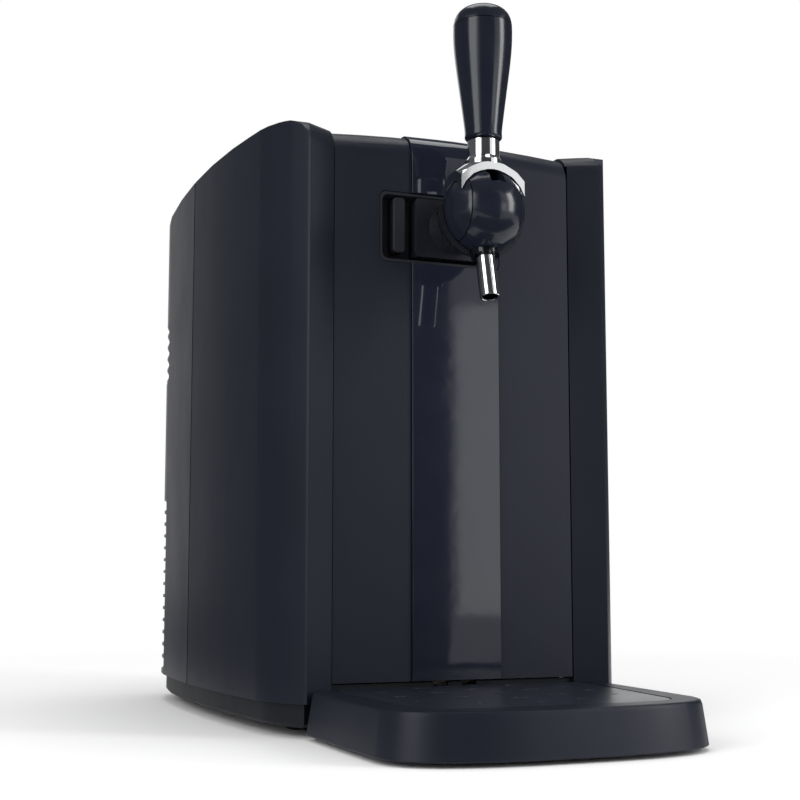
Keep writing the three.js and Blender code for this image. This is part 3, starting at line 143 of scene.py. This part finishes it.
def addLamps():
    for name, place, aim, across, up, watts in studio["lamps"]:
        data = bpy.data.lights.new(name, "AREA")
        data.shape = "RECTANGLE"
        data.size = across
        data.size_y = up
        data.energy = watts
        lamp = bpy.data.objects.new(name, data)
        lamp.location = place
        aimed(lamp, aim)
        scene.collection.objects.link(lamp)


def addCard(name, place, turn, size, glow):
    bpy.ops.mesh.primitive_plane_add(size=1, location=place, rotation=turn)
    card = bpy.context.object
    card.name = name
    card.scale = (size[0], size[1], 1)
    card.visible_camera = False
    card.visible_diffuse = False
    card.visible_transmission = False
    card.visible_volume_scatter = False
    card.visible_shadow = False
    material = bpy.data.materials.new(name + "Cloth")
    material.use_nodes = True
    tree = material.node_tree
    tree.nodes.clear()
    out = tree.nodes.new("ShaderNodeOutputMaterial")
    emission = tree.nodes.new("ShaderNodeEmission")
    emission.inputs["Color"].default_value = studio["cardTint"]
    emission.inputs["Strength"].default_value = glow
    tree.links.new(emission.outputs[0], out.inputs[0])
    card.data.materials.append(material)


def addCards():
    # dark cards and cloths that only reflections meet
    reach = studio["cardReach"]
    height = studio["cardTop"]
    for name, bearing, width, glow in studio["cards"]:
        turn = radians(bearing)
        addCard(name, (-sin(turn) * reach, -cos(turn) * reach, height / 2), (radians(90), 0, -turn),
                (2 * reach * tan(radians(width / 2)), height), glow)
    for name, place, turn, across, along, glow in studio["cloths"]:
        addCard(name, (place[0], place[1], studio["clothHeight"]), (0, 0, radians(turn)),
                (across, along), glow)
    addCard("ceilingCard", (0, 0, height), (0, 0, 0), (2 * reach, 2 * reach), studio["ceilingGlow"])


def addFloor():
    bpy.ops.mesh.primitive_grid_add(x_subdivisions=4, y_subdivisions=4, size=studio["floorSize"])
    floor = bpy.context.object
    floor.name = "floor"
    floor.data.materials.append(floorPaper())


def shownRays(tree):
    path = tree.nodes.new("ShaderNodeLightPath")
    first = tree.nodes.new("ShaderNodeMath")
    first.operation = "MAXIMUM"
    tree.links.new(path.outputs["Is Camera Ray"], first.inputs[0])
    tree.links.new(path.outputs["Is Glossy Ray"], first.inputs[1])
    second = tree.nodes.new("ShaderNodeMath")
    second.operation = "MAXIMUM"
    tree.links.new(first.outputs[0], second.inputs[0])
    tree.links.new(path.outputs["Is Transmission Ray"], second.inputs[1])
    return second.outputs[0]


def floorPaper():
    material = bpy.data.materials.new("floorPaper")
    material.use_nodes = True
    tree = material.node_tree
    shader = tree.nodes["Principled BSDF"]
    shader.inputs["Roughness"].default_value = 0.7
    shader.inputs["Specular IOR Level"].default_value = 0.0
    shown = shownRays(tree)
    mix = tree.nodes.new("ShaderNodeMix")
    mix.data_type = "RGBA"
    mix.inputs["A"].default_value = studio["floorColour"]
    mix.inputs["B"].default_value = studio["floorShown"]
    tree.links.new(shown, mix.inputs["Factor"])
    tree.links.new(mix.outputs["Result"], shader.inputs["Base Color"])
    coords = tree.nodes.new("ShaderNodeTexCoord")
    reach = tree.nodes.new("ShaderNodeVectorMath")
    reach.operation = "LENGTH"
    tree.links.new(coords.outputs["Object"], reach.inputs[0])
    fade = tree.nodes.new("ShaderNodeMapRange")
    fade.interpolation_type = "SMOOTHSTEP"
    fade.inputs["From Min"].default_value = studio["floorFade"][0]
    fade.inputs["From Max"].default_value = studio["floorFade"][1]
    tree.links.new(reach.outputs["Value"], fade.inputs["Value"])
    both = tree.nodes.new("ShaderNodeMath")
    both.operation = "MULTIPLY"
    tree.links.new(fade.outputs["Result"], both.inputs[0])
    tree.links.new(shown, both.inputs[1])
    plain = tree.nodes.new("ShaderNodeEmission")
    plain.inputs["Color"].default_value = (1, 1, 1, 1)
    layers = tree.nodes.new("ShaderNodeMixShader")
    tree.links.new(both.outputs[0], layers.inputs[0])
    tree.links.new(shader.outputs[0], layers.inputs[1])
    tree.links.new(plain.outputs[0], layers.inputs[2])
    tree.links.new(layers.outputs[0], tree.nodes["Material Output"].inputs["Surface"])
    return material


def newFinish(name, roughness, metallic=0.0, specular=0.5):
    material = bpy.data.materials.new(name)
    material.use_nodes = True
    tree = material.node_tree
    shader = tree.nodes["Principled BSDF"]
    shader.inputs["Roughness"].default_value = roughness
    shader.inputs["Metallic"].default_value = metallic
    shader.inputs["Specular IOR Level"].default_value = specular
    coords = tree.nodes.new("ShaderNodeTexCoord")
    return material, tree, shader, coords.outputs["Object"]


def stretched(tree, source, scale):
    mapping = tree.nodes.new("ShaderNodeMapping")
    mapping.inputs["Scale"].default_value = scale
    tree.links.new(source, mapping.inputs["Vector"])
    return mapping.outputs["Vector"]


def noise(tree, source, scale, detail=3.0, roughness=0.5):
    node = tree.nodes.new("ShaderNodeTexNoise")
    node.inputs["Scale"].default_value = scale
    node.inputs["Detail"].default_value = detail
    node.inputs["Roughness"].default_value = roughness
    tree.links.new(source, node.inputs["Vector"])
    return node.outputs["Fac"]


def cells(tree, source, scale):
    node = tree.nodes.new("ShaderNodeTexVoronoi")
    node.inputs["Scale"].default_value = scale
    tree.links.new(source, node.inputs["Vector"])
    return node.outputs["Distance"]


def spread(tree, value, low, high, fromLow=0.3, fromHigh=0.7):
    node = tree.nodes.new("ShaderNodeMapRange")
    node.inputs["From Min"].default_value = fromLow
    node.inputs["From Max"].default_value = fromHigh
    node.inputs["To Min"].default_value = low
    node.inputs["To Max"].default_value = high
    tree.links.new(value, node.inputs["Value"])
    return node.outputs["Result"]


def blended(tree, factor, first, second):
    node = tree.nodes.new("ShaderNodeMix")
    node.data_type = "RGBA"
    node.inputs["A"].default_value = first
    node.inputs["B"].default_value = second
    tree.links.new(factor, node.inputs["Factor"])
    return node.outputs["Result"]


def added(tree, first, second, share):
    node = tree.nodes.new("ShaderNodeMath")
    node.operation = "MULTIPLY_ADD"
    node.inputs[1].default_value = share
    tree.links.new(second, node.inputs[0])
    tree.links.new(first, node.inputs[2])
    return node.outputs[0]


def bumped(tree, shader, height, strength, distance):
    node = tree.nodes.new("ShaderNodeBump")
    node.inputs["Strength"].default_value = strength
    node.inputs["Distance"].default_value = distance
    tree.links.new(height, node.inputs["Height"])
    tree.links.new(node.outputs["Normal"], shader.inputs["Normal"])


def fromHex(code):
    channels = [int(code[k:k + 2], 16) / 255 for k in (0, 2, 4)]
    return tuple(c / 12.92 if c <= 0.04045 else ((c + 0.055) / 1.055) ** 2.4 for c in channels) + (1,)


def mouldedFinish(name, dark, light, roughness, specular, grain, grainDepth):
    material, tree, shader, coords = newFinish(name, roughness, specular=specular)
    broad = noise(tree, coords, 9, 2)
    fine = noise(tree, coords, grain, 4, 0.6)
    smudge = noise(tree, stretched(tree, coords, (1, 1, 0.5)), 38, 5, 0.62)
    tree.links.new(blended(tree, spread(tree, broad, 0, 1), fromHex(dark), fromHex(light)),
                   shader.inputs["Base Color"])
    rough = spread(tree, smudge, roughness * 0.95, roughness * 1.06)
    tree.links.new(rough, shader.inputs["Roughness"])
    bumped(tree, shader, added(tree, fine, smudge, 0.15), 0.35, grainDepth)
    return material


def polishedFinish(name, dark, light, roughness, specular):
    material, tree, shader, coords = newFinish(name, roughness, specular=specular)
    wave = noise(tree, coords, 70, 2, 0.4)
    finger = noise(tree, stretched(tree, coords, (1, 1, 0.6)), 55, 6, 0.66)
    tree.links.new(blended(tree, spread(tree, wave, 0, 1), fromHex(dark), fromHex(light)),
                   shader.inputs["Base Color"])
    tree.links.new(spread(tree, finger, roughness * 0.85, roughness * 1.3, 0.35, 0.75),
                   shader.inputs["Roughness"])
    bumped(tree, shader, wave, 0.05, 0.0004)
    return material


def chromeFinish():
    material, tree, shader, coords = newFinish("chromePlate", 0.07, metallic=1.0)
    cloud = noise(tree, coords, 60, 4)
    tree.links.new(blended(tree, cloud, (0.70, 0.71, 0.73, 1), (0.84, 0.85, 0.86, 1)),
                   shader.inputs["Base Color"])
    tree.links.new(spread(tree, cloud, 0.045, 0.1), shader.inputs["Roughness"])
    bumped(tree, shader, noise(tree, coords, 160, 2), 0.04, 0.0002)
    return material


def brushedFinish(name, dark, light, roughness, along):
    material, tree, shader, coords = newFinish(name, roughness, metallic=1.0)
    streaks = noise(tree, stretched(tree, coords, along), 900, 4, 0.7)
    tree.links.new(blended(tree, streaks, fromHex(dark), fromHex(light)), shader.inputs["Base Color"])
    tree.links.new(spread(tree, streaks, roughness * 0.75, roughness * 1.3), shader.inputs["Roughness"])
    bumped(tree, shader, streaks, 0.2, 0.0001)
    return material


def rubberFinish():
    material, tree, shader, coords = newFinish("softRubber", 0.85, specular=0.25)
    speckle = noise(tree, coords, 700, 5, 0.7)
    dust = noise(tree, coords, 45, 4)
    tree.links.new(blended(tree, spread(tree, dust, 0, 1), fromHex("131416"), fromHex("202225")),
                   shader.inputs["Base Color"])
    tree.links.new(spread(tree, dust, 0.78, 0.95), shader.inputs["Roughness"])
    bumped(tree, shader, speckle, 0.4, 0.0001)
    return material


def foamFinish():
    material, tree, shader, coords = newFinish("insulationFoam", 0.95, specular=0.1)
    cell = cells(tree, coords, 420)
    patch = noise(tree, coords, 20, 3)
    tree.links.new(blended(tree, spread(tree, patch, 0, 1), fromHex("d8d2bd"), fromHex("ece7d6")),
                   shader.inputs["Base Color"])
    bumped(tree, shader, added(tree, cell, patch, 0.5), 0.6, 0.0008)
    return material


def boardFinish():
    material, tree, shader, coords = newFinish("circuitLaminate", 0.4, specular=0.4)
    brick = tree.nodes.new("ShaderNodeTexBrick")
    brick.inputs["Scale"].default_value = 170
    brick.inputs["Mortar Size"].default_value = 0.05
    brick.inputs["Color1"].default_value = fromHex("1b5236")
    brick.inputs["Color2"].default_value = fromHex("1f5e3d")
    brick.inputs["Mortar"].default_value = fromHex("3f8a5c")
    turned = tree.nodes.new("ShaderNodeMapping")
    turned.inputs["Rotation"].default_value = (radians(90), 0, 0)
    tree.links.new(coords, turned.inputs["Vector"])
    tree.links.new(turned.outputs["Vector"], brick.inputs["Vector"])
    tree.links.new(brick.outputs["Color"], shader.inputs["Base Color"])
    bumped(tree, shader, brick.outputs["Fac"], 0.3, 0.0001)
    return material


def ceramicFinish():
    material, tree, shader, coords = newFinish("cellCeramic", 0.55, specular=0.4)
    fleck = noise(tree, coords, 300, 4)
    tree.links.new(blended(tree, fleck, fromHex("e2e0da"), fromHex("f5f4f0")),
                   shader.inputs["Base Color"])
    bumped(tree, shader, fleck, 0.2, 0.0001)
    return material


finishes = {
    "tap_navy": polishedFinish("tapEnamel", "191c27", "1d202b", 0.17, 0.38),
    # the drip grid's navy is a little lighter than the shell's: partly its own tone, partly painted
    # light standing in for the light that falls on the tray's top
    "grid_navy": mouldedFinish("gridSatinPaintedLight", "1f222e", "232634", 0.32, 0.5, 1500, 0.000012),
    "cup_black": mouldedFinish("recessSatin", "27282e", "2c2d34", 0.45, 0.12, 1500, 0.00004),
    "neck_black": polishedFinish("neckGloss", "1b1c22", "202127", 0.25, 0.18),
    "satin_navy": mouldedFinish("satinShell", "1b1e29", "1e212d", 0.40, 0.2, 1500, 0.00005),
    "gloss_navy": polishedFinish("glossStrip", "1b1e2a", "1e212d", 0.045, 0.38),
    "gloss_black": polishedFinish("glossRecess", "0b0c10", "0f1015", 0.14, 0.35),
    "dark_plastic": mouldedFinish("grainedPlastic", "15171d", "1a1c23", 0.52, 0.2, 1900, 0.0001),
    "grey_plastic": mouldedFinish("chamberPlastic", "878c91", "969ba0", 0.42, 0.4, 800, 0.00006),
    "chrome": chromeFinish(),
    "steel": brushedFinish("brushedSheet", "8f9396", "b4b7ba", 0.34, (1, 1, 0.03)),
    "aluminium": brushedFinish("extrudedAluminium", "a4a8ab", "c4c7ca", 0.42, (1, 1, 0.05)),
    "rubber": rubberFinish(),
    "foam": foamFinish(),
    "ceramic": ceramicFinish(),
    "board": boardFinish(),
}
# nodes whose finish is not the plain one of their slot
ownFinish = {
    "tap_body": "tap_navy", "tap_cap_left": "tap_navy", "tap_cap_right": "tap_navy",
    "drip_grid": "grid_navy",
    "grip_cup": "cup_black", "grip_block": "cup_black", "tap_neck": "neck_black",
}
slots = {part["node"]: part["material_slot"] for part in frame["record"]["subparts"]}
print("finishes made:", len(finishes))


def deselected():
    if bpy.context.object and bpy.context.object.mode != "OBJECT":
        bpy.ops.object.mode_set(mode="OBJECT")
    bpy.ops.object.select_all(action="DESELECT")


def bodyOf(node):
    for body, members in frame["record"]["behaviour"]["bodies"].items():
        if node in members:
            return body


dressing = {
    "mergeWithin": 0.000002,  # metres
    "flatWithin": 0.8,  # degrees between faces that count as one flat
    "edgeSteps": 2,
    "flatWeight": 60,
}
eased = {
    # node: (edge radius, crease angle)
    "side_panel_left": (0.0005, 30), "side_panel_right": (0.0005, 30), "roof_cover": (0.0005, 40),
    "rear_cover": (0.0004, 40), "base_pan": (0.0007, 40), "door_panel": (0.0007, 40),
    "strip_lower": (0.0003, 40), "strip_upper": (0.0003, 40), "grip_cup": (0.0002, 40),
    "grip_block": (0.0008, 40), "tap_neck": (0.0001, 40), "tap_body": (0.0004, 40),
    "tap_cap_left": (0.0005, 40), "tap_cap_right": (0.0005, 40), "tap_saddle": (0.0008, 30),
    "spout": (0.0004, 40),
    "spout_collar": (0.0004, 40), "drip_tray": (0.0006, 40), "drip_grid": (0.0004, 40),
    "power_inlet": (0.0004, 40), "switch_frame": (0.0004, 40), "switch_rocker": (0.0006, 40),
    "foot_1": (0.0006, 40), "foot_2": (0.0006, 40), "foot_3": (0.0006, 40), "foot_4": (0.0006, 40),
    "door_liner": (0.0008, 40), "door_gasket": (0.0008, 40), "front_frame": (0.0004, 40),
    "keg_coupler": (0.0006, 40), "coupler_guide": (0.0006, 40), "air_pump": (0.0008, 40),
    "fan_frame": (0.0006, 40), "fan_rotor": (0.0003, 40), "chamber_liner": (0.0006, 40),
    "power_supply": (0.0006, 40), "hinge_bracket": (0.0003, 40), "tap_lever": (0.0003, 40),
    "keg_seat": (0.0006, 40), "air_hose": (0, 60),
}

# node: (axis, metres from, metres to, how far that edge is moved)
trimmed = {
    "rear_cover": ("Y", 0.0720, 0.0728, 0.0006),
    "door_panel": ("X", -0.0793, -0.0791, -0.00045),
}


def pick(piece, test):
    # selects the vertices whose place passes the test, in edit mode
    bpy.ops.object.mode_set(mode="EDIT")
    bpy.ops.mesh.select_mode(type="VERT")
    bpy.ops.mesh.select_all(action="DESELECT")
    bpy.ops.object.mode_set(mode="OBJECT")
    for vertex in piece.data.vertices:
        vertex.select = test(vertex.co)
    bpy.ops.object.mode_set(mode="EDIT")


def easedCopy(node, edge, crease):
    deselected()
    source = nodes[node]
    source.select_set(True)
    bpy.context.view_layer.objects.active = source
    bpy.ops.object.duplicate()
    piece = bpy.context.object
    piece.name = node + "_shell"
    piece.data.name = piece.name
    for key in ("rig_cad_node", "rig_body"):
        if key in piece:
            del piece[key]
    piece.parent = None
    bpy.ops.object.mode_set(mode="EDIT")
    bpy.ops.mesh.select_all(action="SELECT")
    bpy.ops.mesh.remove_doubles(threshold=dressing["mergeWithin"])
    bpy.ops.mesh.dissolve_limited(angle_limit=radians(dressing["flatWithin"]))
    if node in trimmed:
        axis, low, high, move = trimmed[node]
        index = "XYZ".index(axis)
        pick(piece, lambda place: low < place[index] < high)
        bpy.ops.transform.translate(value=[move if k == index else 0 for k in range(3)])
    bpy.ops.object.mode_set(mode="OBJECT")
    if node == "rear_cover":
        sinkRearRecesses(piece)
    bpy.ops.object.shade_smooth_by_angle(angle=radians(crease))
    if edge:
        bevel = piece.modifiers.new("edges", "BEVEL")
        bevel.width = edge
        bevel.segments = dressing["edgeSteps"]
        bevel.limit_method = "ANGLE"
        bevel.angle_limit = radians(crease)
        bevel.harden_normals = True
        bevel.use_clamp_overlap = True
        bpy.ops.object.modifier_apply(modifier="edges")
    weighted = piece.modifiers.new("flats", "WEIGHTED_NORMAL")
    weighted.keep_sharp = True
    weighted.weight = dressing["flatWeight"]
    bpy.ops.object.modifier_apply(modifier="flats")
    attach(piece, bodyOf(node))
    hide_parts(node)
    return piece


def dressNodes():
    for name, node in nodes.items():
        slot = slots[name]
        shown = node
        if name in ("handle_grip", "handle_cap"):
            continue
        if name in eased:
            shown = easedCopy(name, *eased[name])
        shown.data.materials.clear()
        shown.data.materials.append(finishes[ownFinish.get(name, slot)])


handle = {
    "axis": (0, -0.1362),
    "sides": 64,
    "startRadius": 0.02,  # of the cylinder that the rings are made from
    "ringWithin": 0.00002,
    "smoothUnder": 50,  # degrees
    # height and radius of the rings, from the foot to the seam
    "grip": [
        (0.3542, 0.0097), (0.3545, 0.0107), (0.3551, 0.0112), (0.3560, 0.0113), (0.3575, 0.0112),
        (0.3600, 0.0113), (0.3650, 0.0119), (0.3720, 0.0128), (0.3800, 0.01385), (0.3880, 0.01492),
        (0.3950, 0.01585), (0.4010, 0.01662), (0.4070, 0.01727), (0.4120, 0.01768), (0.4165, 0.0179),
        (0.4210, 0.01798), (0.42465, 0.0179),
    ],
    # and from the seam to the top
    "cap": [
        (0.42505, 0.01788), (0.4270, 0.01765), (0.4292, 0.01710), (0.4312, 0.01622),
        (0.4330, 0.01490), (0.4346, 0.01305), (0.4358, 0.01080), (0.4367, 0.00800),
        (0.43725, 0.00480), (0.43742, 0.0020),
    ],
}


def turnedPiece(name, rings, axis, sides):
    # a cylinder is cut into rings, and each ring is scaled to its radius
    deselected()
    low, high = rings[0][0], rings[-1][0]
    wide = handle["startRadius"]
    bpy.ops.mesh.primitive_cylinder_add(vertices=sides, radius=wide, depth=high - low,
                                        location=(axis[0], axis[1], (low + high) / 2))
    piece = bpy.context.object
    piece.name = name
    bpy.ops.object.transform_apply(location=True, rotation=True, scale=True)
    for height, radius in rings[1:-1]:
        bpy.ops.object.mode_set(mode="EDIT")
        bpy.ops.mesh.select_all(action="SELECT")
        bpy.ops.mesh.bisect(plane_co=(axis[0], axis[1], height), plane_no=(0, 0, 1))
        bpy.ops.object.mode_set(mode="OBJECT")
    for height, radius in rings:
        pick(piece, lambda place: abs(place.z - height) < handle["ringWithin"])
        share = radius / wide
        bpy.ops.transform.resize(value=(share, share, 1), center_override=(axis[0], axis[1], height))
        bpy.ops.object.mode_set(mode="OBJECT")
    deselected()
    piece.select_set(True)
    bpy.context.view_layer.objects.active = piece
    bpy.ops.object.shade_smooth_by_angle(angle=radians(handle["smoothUnder"]))
    return piece


def addHandle():
    for node, rings in (("handle_grip", handle["grip"]), ("handle_cap", handle["cap"])):
        piece = turnedPiece(node + "_skin", rings, handle["axis"], handle["sides"])
        piece.data.materials.append(finishes["tap_navy"])
        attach(piece, bodyOf(node))
        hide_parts(node)


screw = {
    "radius": 0.0034,
    "height": 0.0014,
    "ease": 0.0005,
    "socket": 0.0016,
    "socketDepth": 0.0008,
    "sides": 28,
    "rimSteps": 3,
    "smoothUnder": 35,  # degrees
    # under the base pan, heads down
    "underBase": [(-0.100, 0.020), (0.100, 0.020), (-0.100, 0.150), (0.100, 0.150), (0, 0.215),
                  (0, -0.070)],
    "baseFace": 0.0058,
    "baseSunk": 0.0001,
    # in the rear cover's own recesses
    "onRear": [(-0.078, 0.336), (0.078, 0.336), (-0.078, 0.218), (0.078, 0.218)],
    "lookFrom": 0.3,  # metres behind the middle, from where the rear face is sought
    "recess": 0.0016,
    "recessRadius": 0.0044,
    "recessGap": 0.00005,
}


def addScrew():
    deselected()
    bpy.ops.mesh.primitive_cylinder_add(vertices=screw["sides"], radius=screw["radius"],
                                        depth=screw["height"], location=(0, 0, screw["height"] / 2))
    piece = bpy.context.object
    piece.name = "screw"
    bpy.ops.object.transform_apply(location=True, rotation=True, scale=True)
    # the rim is rounded and a six-sided socket sunk into the top
    bpy.ops.mesh.primitive_cylinder_add(vertices=6, radius=screw["socket"],
                                        depth=2 * screw["socketDepth"],
                                        location=(0, 0, screw["height"]))
    cutter = bpy.context.object
    bpy.ops.object.transform_apply(location=True, rotation=True, scale=True)
    deselected()
    piece.select_set(True)
    bpy.context.view_layer.objects.active = piece
    rim = piece.modifiers.new("rim", "BEVEL")
    rim.width = screw["ease"]
    rim.segments = screw["rimSteps"]
    rim.limit_method = "ANGLE"
    bpy.ops.object.modifier_apply(modifier="rim")
    sunk = piece.modifiers.new("socket", "BOOLEAN")
    sunk.object = cutter
    sunk.operation = "DIFFERENCE"
    sunk.solver = "EXACT"
    bpy.ops.object.modifier_apply(modifier="socket")
    bpy.data.objects.remove(cutter, do_unlink=True)
    bpy.ops.object.shade_smooth_by_angle(angle=radians(screw["smoothUnder"]))
    piece.data.materials.clear()
    piece.data.materials.append(finishes["steel"])
    return piece


def placedScrew(model, name, place, turn):
    deselected()
    model.select_set(True)
    bpy.context.view_layer.objects.active = model
    bpy.ops.object.duplicate()
    copy = bpy.context.object
    copy.name = name
    copy.data.name = name
    copy.rotation_euler = turn
    copy.location = place
    bpy.ops.object.transform_apply(location=True, rotation=True, scale=True)
    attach(copy, "casing")


def addScrews():
    model = addScrew()
    for k, (x, y) in enumerate(screw["underBase"]):
        placedScrew(model, "base_screw_%d" % (k + 1), (x, y, screw["baseFace"] - screw["baseSunk"]),
                    (radians(180), 0, 0))
    for k, (place, outward) in enumerate(rearSeats):
        depth = screw["recess"] - screw["recessGap"]
        placedScrew(model, "rear_screw_%d" % (k + 1), place - outward * depth,
                    outward.to_track_quat("Z", "Y").to_euler())
    bpy.data.objects.remove(model, do_unlink=True)


def seatOnRear(x, z):
    # the point of the bowed rear face at x and z, and the way it faces
    start = Vector((x, screw["lookFrom"], z))
    hit, place, outward, face = nodes["rear_cover"].ray_cast(start, Vector((0, -1, 0)))
    return place, outward


def sinkRearRecesses(cover):
    for place, outward in rearSeats:
        deselected()
        bpy.ops.mesh.primitive_cylinder_add(vertices=screw["sides"], radius=screw["recessRadius"],
                                            depth=2 * screw["recess"],
                                            location=place,
                                            rotation=outward.to_track_quat("Z", "Y").to_euler())
        cutter = bpy.context.object
        bpy.ops.object.transform_apply(location=True, rotation=True, scale=True)
        deselected()
        cover.select_set(True)
        bpy.context.view_layer.objects.active = cover
        sunk = cover.modifiers.new("recess", "BOOLEAN")
        sunk.object = cutter
        sunk.operation = "DIFFERENCE"
        sunk.solver = "EXACT"
        bpy.ops.object.modifier_apply(modifier="recess")
        bpy.data.objects.remove(cutter, do_unlink=True)


scene.view_settings.view_transform = "Standard"
addCamera()
addWorld()
addLamps()
addCards()
addFloor()
print("camera and studio set")
rearSeats = [seatOnRear(x, z) for x, z in screw["onRear"]]
print("rear screw seats found:", len(rearSeats))
dressNodes()
print("nodes dressed")
addHandle()
print("handle turned")
addScrews()
print("screws set")

print("done")
